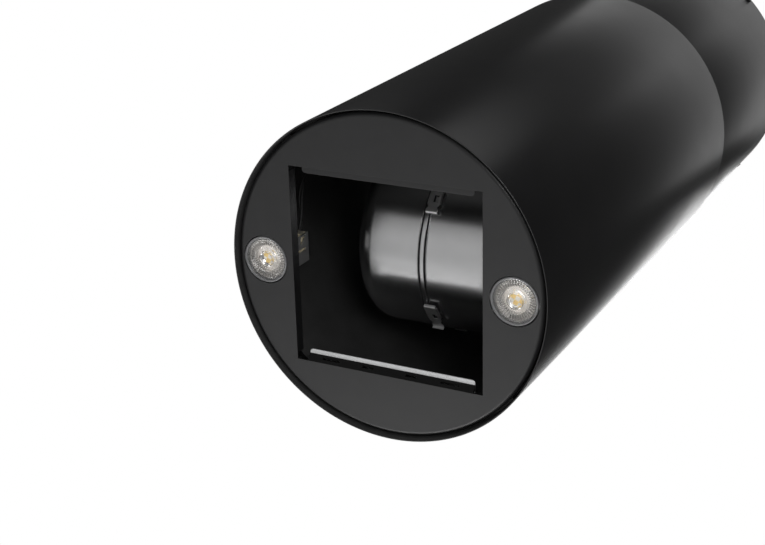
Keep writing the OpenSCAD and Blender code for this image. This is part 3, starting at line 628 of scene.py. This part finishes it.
def clip_mesh(reach, low_end):
    """One spring clip in millimetres: u round the drum, v along it, w out from it."""
    face = make("clip_face", prism(clip_outline(reach), CLIP_TOP - CLIP_T, CLIP_TOP),
                ["spring_steel"])
    window = [(-5.5, -1.0), (2.5, -1.0), (2.5, 4.4), (-5.5, 4.4)]
    subtract(face, make("clip_window", prism(window, 2.0, 6.0), ["spring_steel"]))
    parts = [folded_lip(low_end, reach), raised_flange(-low_end, reach)]
    start, end, inner = 2 - reach, 3.6, CLIP_HALF_W - CLIP_T
    for side in (-1, 1):
        wall = [(start, side * CLIP_HALF_W), (end, side * CLIP_HALF_W), (end, side * inner),
                (start, side * inner)]
        parts.append(prism(wall, 1.5, CLIP_TOP - 0.1))
    tongue = [(-4.6, 0.0), (1.2, 0.3), (1.2, 3.2), (-4.6, 3.5)]
    parts.append(prism(tongue, 1.6, 2.2))
    clip = merge(face, make("clip_walls", joined(*parts), ["spring_steel"]))
    return soften(clip, 0.14, 2)


def seam_clips():
    """The four clips, bent into their places round the drum."""
    clips = []
    for angle, reach in CLIPS:
        clip = clip_mesh(reach, 1 if angle < 0 else -1)
        turn = math.radians(angle)
        for vert in clip.data.vertices:
            u, v, w = vert.co
            radial = DRUM_R / MM + w
            vert.co = ((CLIP_X + v) * MM,
                       BLOWER_Y + (u * math.cos(turn) + radial * math.sin(turn)) * MM,
                       BLOWER_Z + (u * math.sin(turn) - radial * math.cos(turn)) * MM)
        clip.data.update()
        shade(clip.data, 34)
        clips.append(clip)
    piece = merge(*clips)
    piece.name = "seam_clip_set"
    stand_for(piece, "seam_clips")


seam_clips()


def impeller():
    """Two rims, a centre disc and curved blades."""
    low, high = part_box("impeller")
    half, outer = (high.x - low.x) / 2, (high.z - low.z) / 2
    rim_width, rim_inner = 3 * MM, outer - 5 * MM
    disc_half, disc_inner, disc_outer = 1.2 * MM, 11 * MM, 62 * MM
    parts = []
    for side in (-1, 1):
        a, b = side * half, side * (half - rim_width)
        rim = [(a, rim_inner), (a, outer), (b, outer), (b, rim_inner)]
        parts.append(lathe(rim, round_drum, 144))
    parts.append(lathe([(-disc_half, disc_inner), (-disc_half, disc_outer), (disc_half, disc_outer),
                        (disc_half, disc_inner)], round_drum, 144))
    blades, steps, thick = 36, 7, 0.5 * MM
    inner_r, outer_r = 60.5 * MM, outer - 1 * MM
    reach, blade_lean = half - 1.5 * MM, math.radians(9.0)
    for blade in range(blades):
        base = TURN * blade / blades
        front, back = [], []
        for i in range(steps + 1):
            share = i / steps
            radius = inner_r + (outer_r - inner_r) * share
            lean = base + blade_lean * share ** 1.7
            front.append((radius, lean - thick / radius))
            back.append((radius, lean + thick / radius))
        outline = front + back[::-1]
        count = len(outline)
        verts = [round_drum(x, r, t) for x in (-reach, reach) for r, t in outline]
        faces = [tuple(range(count)), tuple(range(2 * count - 1, count - 1, -1))]
        faces += [(k, (k + 1) % count, count + (k + 1) % count, count + k) for k in range(count)]
        parts.append((verts, faces))
    return stand_for(make("impeller_wheel", joined(*parts), ["impeller"]), "impeller")


impeller()


# ---- Lamps ----

def polar_face(centre, height, radius, rings, spokes):
    """Vertices and faces of a round relief, whose height depends on radius and angle."""
    verts = [(centre[0], centre[1], height(0, 0))]
    for i in range(1, rings + 1):
        r = radius * i / rings
        for k in range(spokes):
            t = TURN * k / spokes
            x, y = centre[0] + r * math.cos(t), centre[1] + r * math.sin(t)
            verts.append((x, y, height(r, t)))
    faces = [(0, 1 + k, 1 + (k + 1) % spokes) for k in range(spokes)]
    for i in range(rings - 1):
        a, b = 1 + i * spokes, 1 + (i + 1) * spokes
        for k in range(spokes):
            n = (k + 1) % spokes
            faces.append((a + k, b + k, b + n, a + n))
    return verts, faces


# Outer radii of the lens's rings, from its middle outwards
LENS_DOME_R = 7.5 * MM
LENS_GROOVE_R = 8.3 * MM
LENS_FINE_R = 13.0 * MM
LENS_STEP_R = 13.9 * MM
LENS_TOOTHED_R = 18.5 * MM
LENS_OUTER_R = 21 * MM
TEETH = 40
STEM_R = 8.3 * MM
STEM_FOOT_R = 6.6 * MM
STEM_H = 8.4 * MM


def stem_height(r):
    """How far the solid cone at the lens's middle reaches back towards the light."""
    return STEM_H * min(1.0, max(0.0, (STEM_R - r) / (STEM_R - STEM_FOOT_R)))


def lens_relief(r, t):
    """Depth of the lens's face behind its highest point, at a radius and an angle."""
    if r < LENS_DOME_R:
        return 0.35 * MM - 0.35 * MM * math.cos(r / LENS_DOME_R * math.pi / 2)
    if r < LENS_GROOVE_R:
        return 0.9 * MM
    if r < LENS_FINE_R:
        return 0.40 * MM + 0.12 * MM * math.cos(TURN * (r - LENS_GROOVE_R) / (1.15 * MM))
    if r < LENS_STEP_R:
        return 1.0 * MM
    if r < LENS_TOOTHED_R:
        return 0.55 * MM + 0.20 * MM * math.cos(TEETH * t)
    if r < LENS_OUTER_R:
        return 0.40 * MM + 0.14 * MM * math.cos(TURN * (r - LENS_TOOTHED_R) / (0.85 * MM))
    return 0.9 * MM


def lens(side, node):
    """Clear moulding: a ringed and toothed face, and a flat back with a stem."""
    low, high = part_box(node)
    centre = ((low.x + high.x) / 2, (low.y + high.y) / 2)
    radius = (high.x - low.x) / 2 - 0.1 * MM
    rings, back_rings, spokes = 84, 28, 240
    front = polar_face(centre, lambda r, t: low.z + lens_relief(r, t), radius, rings, spokes)
    back = polar_face(centre, lambda r, t: high.z + stem_height(r), radius, back_rings, spokes)
    verts, faces = joined(front, back)
    first, second = 1 + (rings - 1) * spokes, len(front[0]) + 1 + (back_rings - 1) * spokes
    for k in range(spokes):
        n = (k + 1) % spokes
        faces.append((first + k, second + k, second + n, first + n))
    piece = stand_for(make(side + "_lens_moulding", (verts, faces), ["lamp_lens"], angle=50), node)
    piece.visible_shadow = False
    return piece


def round_lamp(x, y, z):
    """A function that gives a point round a lamp's own axis, above its face."""
    def place(height, radius, angle):
        return (x + radius * math.cos(angle), y + radius * math.sin(angle), z + height)
    return place


def in_metres(points):
    """Points given in millimetres."""
    return [(a * MM, r * MM) for a, r in points]


def radial_bar(place, turn, ends):
    """A bar round a lamp's axis. Each end is (height, four corners as (radius, sideways))."""
    verts = []
    for height, corners in ends:
        for r, sideways in corners:
            verts.append(place(height * MM, r * MM, turn + sideways / r))
    faces = [(3, 2, 1, 0), (4, 5, 6, 7)]
    faces += [(k, (k + 1) % 4, (k + 1) % 4 + 4, k + 4) for k in range(4)]
    return verts, faces


def cup_profile():
    """Closed (height, radius) profile of the lamp's cup, rim and cone."""
    bowl = [(12.4, 0.2), (12.4, 13.2), (8.6, 13.6), (8.2, 14.2), (8.2, 20.0), (3.6, 21.2),
            (3.6, 22.6), (1.6, 22.8), (0.6, 23.2)]
    rim = arc((0.8, 24.0), 0.8, 180, 90, 5)
    cone = [(4.4, 24.8), (5.0, 24.5), (6.0, 23.4), (18, 19.4), (30, 15.6), (34, 13.6), (41.4, 13.5),
            (42.0, 12.9), (42.0, 0.2)]
    return in_metres(bowl + rim + cone)


def cone_rib(place, turn):
    """One cooling rib along the cone."""
    ends = []
    for height, inner, outer in ((7, 22.0, 23.8), (29, 15.0, 17.4)):
        ends.append((height, ((inner, -0.5), (outer, -0.35), (outer, 0.35), (inner, 0.5))))
    return radial_bar(place, turn, ends)


def bowl_tooth(place, turn):
    """One tooth of the ring round the lamp's bowl."""
    corners = ((14.4, -0.45), (20.6, -0.7), (20.6, 0.7), (14.4, 0.45))
    return radial_bar(place, turn, ((3.9, corners), (8.25, corners)))


def lamp_pins(side, x, y, z):
    """The two stepped pins at the back of the lamp."""
    pin = in_metres([(41.9, 0.1), (41.9, 1.6), (46.3, 1.6), (46.6, 2.4), (48.6, 2.4), (49.0, 2.0),
                     (49.0, 0.1)])
    pins = [lathe(pin, round_lamp(x + offset * MM, y, z), 32) for offset in (-5, 5)]
    piece = make(side + "_lamp_pins", joined(*pins), ["steel_bright"])
    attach(piece, "hood_body")


def bulb(side, node):
    """Lamp body: a rimmed cup with a pale toothed bowl in it, a ribbed cone and two pins."""
    low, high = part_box(node)
    x, y, z = (low.x + high.x) / 2, (low.y + high.y) / 2, low.z
    place, ribs = round_lamp(x, y, z), 24
    mouth_r, mouth_depth, tooth_top = 22.7 * MM, 12.6 * MM, 8.1 * MM
    bowl_r, teeth_inner, teeth_outer = 13.9 * MM, 14.1 * MM, 20.7 * MM
    parts = [lathe(cup_profile(), place, 144)]
    parts += [cone_rib(place, TURN * i / ribs) for i in range(ribs)]
    parts += [bowl_tooth(place, TURN * (i + 0.5) / TEETH) for i in range(TEETH)]

    def finish(c):
        across, deep = math.hypot(c.x - x, c.y - y), c.z - z
        if across > mouth_r or deep > mouth_depth:
            return 0
        if across < bowl_r:
            return 1
        return 3 if teeth_inner < across < teeth_outer and deep < tooth_top else 2

    # Faces between and round the teeth take the dark gap finish, painted shade in the recess
    finishes = ["lamp_body", "lamp_bowl", "lamp_gap_shade", "lamp_teeth"]
    body = make(side + "_lamp_cup", joined(*parts), finishes, finish)
    lamp_pins(side, x, y, z)
    return stand_for(body, node)


def block(centre, size, turn=0.0):
    """Vertices and faces of a block whose top edges are chamfered."""
    verts = []
    for z, inset in ((-0.5, 0.12), (-0.25, 0.0), (0.5, 0.0)):
        for dx, dy in ((-1, -1), (1, -1), (1, 1), (-1, 1)):
            px, py = dx * size[0] * (0.5 - inset), dy * size[1] * (0.5 - inset)
            verts.append((centre[0] + px * math.cos(turn) - py * math.sin(turn),
                          centre[1] + px * math.sin(turn) + py * math.cos(turn),
                          centre[2] + z * size[2]))
    faces = [(3, 2, 1, 0), (8, 9, 10, 11)]
    for base in (0, 4):
        for k in range(4):
            n = (k + 1) % 4
            faces.append((base + k, base + n, base + 4 + n, base + 4 + k))
    return verts, faces


def led_module(side, node):
    """A round board with four light-emitting dies on it."""
    low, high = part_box(node)
    x, y, z = (low.x + high.x) / 2, (low.y + high.y) / 2, low.z
    radius, height, centre = (high.x - low.x) / 2, high.z - low.z, 0.1 * MM
    disc = [(0.1 * MM, centre), (0.1 * MM, radius - 0.3 * MM), (0.4 * MM, radius), (height, radius),
            (height, centre)]
    board = make(side + "_led_board", lathe(disc, round_lamp(x, y, z), 96), ["led_board"])
    die_r, die_size, die_z = 4.6 * MM, (4.6 * MM, 4.6 * MM, 0.8 * MM), z - 0.25 * MM
    dies = [block((x + die_r * math.cos(t), y + die_r * math.sin(t), die_z), die_size, t)
            for t in (0.5, 2.0, 3.6, 5.2)]
    chips = make(side + "_led_dies", joined(*dies), ["led_die"])
    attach(chips, "hood_body")
    return stand_for(board, node)


for lamp_side in ("left", "right"):
    lens(lamp_side, lamp_side + "_bulb_lens")
    bulb(lamp_side, lamp_side + "_bulb_body")
    led_module(lamp_side, lamp_side + "_led_module")


# ---- Leads ----

# Points of each lead's route, in millimetres from the hood's axis and above its rim
LEFT_ROUTE = [(-141, -4, 68.7), (-141, -6, 78), (-144, -22, 87), (-147, -43, 93), (-145, -68, 106),
              (-134, -88, 140), (-121, -102, 190), (-105, -113, 245), (-88, -120, 284),
              (-86, -120, 295), (-86, -120, 306), (-78, -120, 314), (-66, -120, 315),
              (-58, -120, 315)]
MOTOR_ROUTE = [(66.7, 16, 158), (76, 16, 158), (92, 13, 154), (108, 2, 160), (118, -22, 186),
               (118, -58, 225), (102, -80, 258), (80, -91, 284), (78, -92, 295), (78, -92, 306),
               (73, -97, 313), (66, -101, 315), (58, -101, 315)]


def smooth_route(route, steps=12):
    """A smooth curve through a route given in millimetres above the rim."""
    points = [Vector((x * MM, y * MM, z * MM + RIM_Z)) for x, y, z in route]
    last = len(points) - 1
    curve = []
    for i in range(last):
        a, b = points[max(i - 1, 0)], points[i]
        c, d = points[i + 1], points[min(i + 2, last)]
        for j in range(steps):
            t = j / steps
            bend = (2 * a - 5 * b + 4 * c - d) * t * t + (3 * b - a - 3 * c + d) * t ** 3
            curve.append(0.5 * (2 * b + (c - a) * t + bend))
    curve.append(points[last])
    return curve


def swept(path, radius, sides=12, offset=0.0, pitch=0.05, phase=0.0):
    """A round core along a path, wound about it at an offset."""
    count = len(path)
    side = Vector((1, 0.2, 0.1))
    travelled = 0.0
    verts = []
    for i, point in enumerate(path):
        along = (path[min(i + 1, count - 1)] - path[max(i - 1, 0)]).normalized()
        side = (side - along * side.dot(along)).normalized()
        up = along.cross(side)
        if i:
            travelled += (point - path[i - 1]).length
        turn = TURN * travelled / pitch + phase
        centre = point + offset * (math.cos(turn) * side + math.sin(turn) * up)
        for k in range(sides):
            t = TURN * k / sides
            verts.append(centre + radius * (math.cos(t) * side + math.sin(t) * up))
    faces = []
    for i in range(count - 1):
        here, ahead = i * sides, (i + 1) * sides
        for k in range(sides):
            n = (k + 1) % sides
            faces.append((here + k, ahead + k, ahead + n, here + n))
    faces.append(tuple(range(sides)))
    faces.append(tuple((count - 1) * sides + k for k in reversed(range(sides))))
    return verts, faces


def lead(node, route):
    """Two sleeved cores laid side by side, with a short shrunk sleeve at each end."""
    path = smooth_route(route)
    core_r, core_offset, pitch, end_r, end_points = 1.5 * MM, 1.45 * MM, 0.09, 2.95 * MM, 10
    cores = [swept(path, core_r, 12, core_offset, pitch, phase) for phase in (0.0, math.pi)]
    ends = [swept(path[:end_points], end_r, 20), swept(path[-end_points:], end_r, 20)]
    return stand_for(make(node + "_cores", joined(*cores, *ends), ["sleeve"]), node)


lead("left_lamp_lead", LEFT_ROUTE)
lead("right_lamp_lead", [(-x, y, z) for x, y, z in LEFT_ROUTE])
lead("motor_lead", MOTOR_ROUTE)


# ---- Parts whose CAD shape is kept and given rounded edges ----

# Width of each part's rounded edges, in millimetres
EDGE_WIDTHS = {
    "front_filter_ledge": 0.35, "rear_filter_ledge": 0.55, "plate_brackets": 0.3,
    "plate_nuts": 0.25, "left_lampholder": 0.8, "right_lampholder": 0.8,
    "left_terminal_cap": 1.2, "right_terminal_cap": 1.2, "lead_grommets": 0.5,
    "left_inlet_ring": 0.3, "right_inlet_ring": 0.3, "left_inlet_guard": 0.5,
    "motor_case": 0.8, "motor_bracket": 0.4, "motor_dampers": 0.4, "bracket_screws": 0.15,
    "impeller_hub": 0.5, "motor_shaft": 0.4, "motor_deck": 0.3, "deck_brackets": 0.3,
    "deck_screws": 0.15, "outlet_gasket": 0.3, "outlet_collar": 0.5, "outlet_screws": 0.15,
    "front_flap": 0.25, "rear_flap": 0.25, "capacitor": 1.2, "capacitor_strap": 0.25,
    "control_box_tray": 0.8, "control_box_cover": 0.8, "control_board": 0.2, "terminal_block": 0.5,
    "cable_gland": 0.5, "control_box_screws": 0.15, "hood_uprights": 0.3, "ceiling_plate": 0.4,
    "ceiling_uprights": 0.3, "clamp_bolts": 0.3, "upper_tube_screws": 0.2,
}
for node, width in EDGE_WIDTHS.items():
    refined(node, width * MM)
for node in ("left_lamp_bracket", "right_lamp_bracket"):
    refined(node, 0.3 * MM, finish="bracket_steel")
PLATE_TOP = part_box("base_plate")[0].z + 1.3 * MM
SLOPE_HALF_W = 107.5 * MM


def shaded_rear_slope(centre):
    """Which of the base plate's finishes a face takes: the sloped rear flange gets a darker, less
    reflective copy of the plate's black, as painted shade.
    """
    return 1 if centre.z > PLATE_TOP and abs(centre.x) < SLOPE_HALF_W and centre.y > 0 else 0


# The sloped rear flange takes the darker copy of the black, as painted shade
refined("base_plate", 0.6 * MM, 3, extra=["slope_shaded_black"], pick=shaded_rear_slope)


# ---- Stage, lights and camera ----

FLOOR_Z = -3.6


def floor():
    """A wide pale floor that fades into the backdrop's white far from the hood."""
    rings, spokes, radius, fade_start, fade_end = 24, 96, 16.0, 5.0, 10.0
    shape = polar_face((0, 0), lambda r, t: FLOOR_Z, radius, rings, spokes)
    mesh = bpy.data.meshes.new("floor")
    mesh.from_pydata(shape[0], [], shape[1])
    piece = placed("floor", mesh)
    made, nodes, links, shader = new_material("pale_floor")
    point = texture_point(nodes, links)
    clouds = noise(nodes, links, point, 0.8)
    links.new(blend_colors(nodes, links, clouds, (0.74, 0.74, 0.74), (0.78, 0.78, 0.78)),
              shader.inputs["Base Color"])
    shader.inputs["Roughness"].default_value = 0.8
    distance = nodes.new("ShaderNodeVectorMath")
    distance.operation = "LENGTH"
    links.new(point, distance.inputs[0])
    glow = nodes.new("ShaderNodeEmission")
    glow.inputs["Color"].default_value = (1, 1, 1, 1)
    glow.inputs["Strength"].default_value = 1.0
    mixed = nodes.new("ShaderNodeMixShader")
    fade = remap(nodes, links, distance.outputs["Value"], 0, 1, fade_start, fade_end)
    links.new(fade, mixed.inputs["Fac"])
    links.new(shader.outputs["BSDF"], mixed.inputs[1])
    links.new(glow.outputs["Emission"], mixed.inputs[2])
    links.new(mixed.outputs["Shader"], nodes["Material Output"].inputs["Surface"])
    mesh.materials.append(made)


def softbox(name, place, target, width, height, brightness):
    """A large soft light at a place, turned to its target. Brightness is its radiance."""
    light = bpy.data.lights.new(name, "AREA")
    light.shape = "RECTANGLE"
    light.size = width
    light.size_y = height
    light.energy = math.pi * width * height * brightness
    lamp = placed(name, light)
    lamp.location = place
    lamp.rotation_mode = "QUATERNION"
    lamp.rotation_quaternion = (Vector(target) - Vector(place)).to_track_quat("-Z", "Y")
    lamp.visible_camera = False


def backdrop():
    """White behind the object, and a dim even light on it."""
    fill_strength = 0.045
    world = bpy.data.worlds.new("studio")
    world.use_nodes = True
    bpy.context.scene.world = world
    nodes, links = world.node_tree.nodes, world.node_tree.links
    shown = nodes["Background"]
    shown.inputs["Color"].default_value = (1, 1, 1, 1)
    shown.inputs["Strength"].default_value = 1.0
    fill = nodes.new("ShaderNodeBackground")
    fill.inputs["Color"].default_value = (1, 1, 1, 1)
    fill.inputs["Strength"].default_value = fill_strength
    rays = nodes.new("ShaderNodeLightPath")
    mixed = nodes.new("ShaderNodeMixShader")
    links.new(rays.outputs["Is Camera Ray"], mixed.inputs["Fac"])
    links.new(fill.outputs["Background"], mixed.inputs[1])
    links.new(shown.outputs["Background"], mixed.inputs[2])
    links.new(mixed.outputs["Shader"], nodes["World Output"].inputs["Surface"])


def photo_camera():
    """The camera looks up at the hood's rim from its front right."""
    data = bpy.data.cameras.new("camera")
    data.lens = 70.18
    data.sensor_width = 36.0
    data.clip_start = 0.05
    data.clip_end = 100.0
    camera = placed("camera", data)
    right = Vector((0.88576, 0.02572, 0.46343))
    up = Vector((-0.14873, -0.93009, 0.33589))
    back = right.cross(up)
    turned = Matrix((right, up, back)).transposed()
    place = (0.648, -0.5496, -2.109)
    camera.matrix_world = Matrix.Translation(place) @ turned.to_4x4()
    bpy.context.scene.camera = camera


floor()
backdrop()
photo_camera()
HOOD = (0, 0, -0.7)
softbox("floor_light", (-1.0, 0.9, -1.7), (-1.0, 0.9, FLOOR_Z), 3.2, 4.2, 0.95)
softbox("low_rear_light", (-1.3, 1.6, -3.0), HOOD, 1.5, 1.4, 0.2)
softbox("far_rear_light", (-0.8, 2.6, -2.7), HOOD, 2.0, 1.2, 4.6)
softbox("low_front_light", (-1.1, -0.8, -3.0), HOOD, 1.4, 1.2, 0.15)
softbox("low_right_light", (1.4, -1.25, -2.5), HOOD, 0.8, 0.8, 6.0)
softbox("edge_light", (-0.97, 1.56, 2.02), HOOD, 1.1, 1.8, 3.0)
softbox("high_rear_light", (-0.35, 1.85, 2.0), HOOD, 0.9, 1.8, 1.2)
softbox("front_left_light", (-1.8, -2.2, 0.4), HOOD, 1.6, 2.4, 0.4)
softbox("ceiling_light", (0, 0, 2.6), HOOD, 2.0, 2.0, 0.6)
softbox("front_right_light", (0.8, -2.75, 0.8), HOOD, 1.6, 2.4, 0.9)
bpy.context.scene.view_settings.view_transform = "Standard"
